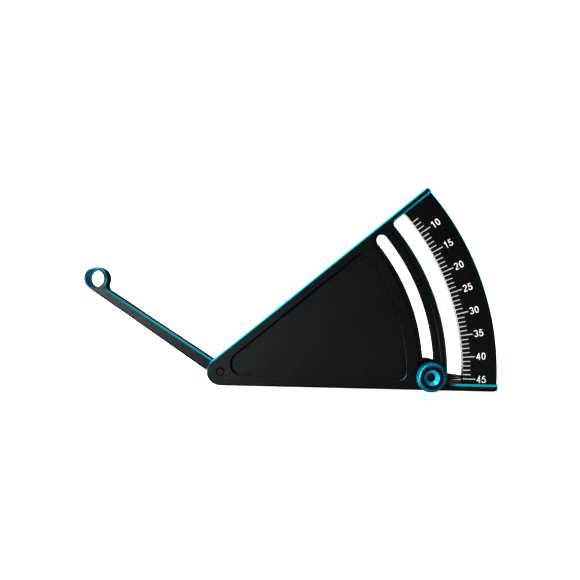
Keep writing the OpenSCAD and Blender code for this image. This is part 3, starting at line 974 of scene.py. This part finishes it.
def floor_profile():
    """The backdrop seen from its end: Y and Z of its points, from the front of the floor up."""
    floor_z = cad_low.z
    profile = [(FLOOR_FRONT, floor_z), (FLOOR_BACK, floor_z)]
    for i in range(1, BEND_STEPS + 1):
        turn = math.radians(90 * i / BEND_STEPS)
        back = FLOOR_BACK + BEND_R * math.sin(turn)
        profile.append((back, floor_z + BEND_R * (1 - math.cos(turn))))
    profile.append((FLOOR_BACK + BEND_R, WALL_TOP))
    return profile


def add_backdrop():
    """A pale floor that sweeps up into a wall behind the gauge."""
    bm = bmesh.new()
    left = [bm.verts.new((-FLOOR_HALF_W, y, z)) for y, z in floor_profile()]
    for a, b in zip(left, left[1:]):
        bm.edges.new((a, b))
    made = bmesh.ops.extrude_edge_only(bm, edges=bm.edges[:])["geom"]
    moved = [item for item in made if isinstance(item, bmesh.types.BMVert)]
    bmesh.ops.translate(bm, verts=moved, vec=(2 * FLOOR_HALF_W, 0, 0))
    for face in bm.faces:
        face.smooth = True
    mesh = bpy.data.meshes.new("floor")
    bm.to_mesh(mesh)
    bm.free()
    mesh.materials.append(paper_material())
    sweep = bpy.data.objects.new("floor", mesh)
    bpy.context.scene.collection.objects.link(sweep)


# Each light's place, the point it aims at, its width and height, and its power. The flat
# faces mirror the front left light, and the chamfers the key, top and right lights. The rear
# light shows the back of the gauge, and the back light falls on the wall.
LIGHTS = {
    "front_left_light": ((-0.36, -0.46, 0.06), (-0.06, 0, 0.04), (0.15, 0.15), 15.0),
    "key_light": ((-0.32, 0.05, 0.5), (-0.05, 0, 0.04), (0.6, 0.4), 6.6),
    "upper_left_light": ((-0.35, -0.02, 0.35), (-0.05, 0, 0.04), (0.2, 0.1), 1.0),
    "top_light": ((0.22, -0.13, 0.6), (0.02, 0, 0.02), (0.3, 0.25), 0.5),
    "right_light": ((0.5, 0.17, 0.27), (0.04, 0, 0.04), (0.2, 0.35), 3.0),
    "rear_light": ((-0.4, 0.42, 0.06), (-0.02, 0, 0.03), (0.2, 0.2), 11.0),
    "back_light": ((0.0, 0.1, 1.2), (0, 0.6, 0.3), (1.4, 0.5), 2.6),
}
ROOM_BRIGHTNESS = 0.1


def add_light(name, place, target, size, power):
    """A rectangular white light that points at a target."""
    data = bpy.data.lights.new(name, "AREA")
    data.shape = "RECTANGLE"
    data.size, data.size_y = size
    data.energy = power
    lamp = bpy.data.objects.new(name, data)
    bpy.context.scene.collection.objects.link(lamp)
    lamp.location = place
    aim = Vector(target) - Vector(place)
    lamp.rotation_euler = aim.to_track_quat("-Z", "Y").to_euler()


def set_world():
    """A dim room that lights the gauge, and a white studio that only the camera sees."""
    world = bpy.data.worlds.new("studio")
    bpy.context.scene.world = world
    world.use_nodes = True
    tree = world.node_tree
    room = tree.nodes["Background"]
    feed(tree, room.inputs["Color"], WHITE)
    feed(tree, room.inputs["Strength"], ROOM_BRIGHTNESS)
    studio = add(tree, "ShaderNodeBackground")
    feed(tree, studio.inputs["Color"], WHITE)
    choice = add(tree, "ShaderNodeMixShader")
    feed(tree, choice.inputs[0], add(tree, "ShaderNodeLightPath").outputs["Is Camera Ray"])
    feed(tree, choice.inputs[1], room.outputs[0])
    feed(tree, choice.inputs[2], studio.outputs[0])
    feed(tree, tree.nodes["World Output"].inputs[0], choice.outputs[0])


# Where the photograph was taken from, in front of the face, and its lens
CAMERA_X = -27.61 * MM
CAMERA_Z = 37.59 * MM
CAMERA_DISTANCE = 201.6 * MM
CAMERA_ROLL = math.radians(1.35)
PHOTO_PIXELS = 580
FOCAL_PIXELS = 521.7
SENSOR_MM = 36


def add_camera():
    """Close to the gauge, square to its face, and turned a little about the line of sight."""
    data = bpy.data.cameras.new("photo_camera")
    data.sensor_width = SENSOR_MM
    data.lens = SENSOR_MM * FOCAL_PIXELS / PHOTO_PIXELS
    data.clip_start = 0.01
    data.clip_end = 20
    camera = bpy.data.objects.new("photo_camera", data)
    bpy.context.scene.collection.objects.link(camera)
    place = Matrix.Translation((CAMERA_X, FRONT_Y - CAMERA_DISTANCE, CAMERA_Z))
    level = Matrix.Rotation(math.radians(90), 4, "X")
    camera.matrix_world = place @ level @ Matrix.Rotation(CAMERA_ROLL, 4, "Z")
    bpy.context.scene.camera = camera


dress_solids()
add_scale_marks()
add_scale_numbers()
add_index_line()
add_backdrop()
for light_name, light_settings in LIGHTS.items():
    add_light(light_name, *light_settings)
set_world()
bpy.context.scene.view_settings.view_transform = "Standard"
add_camera()
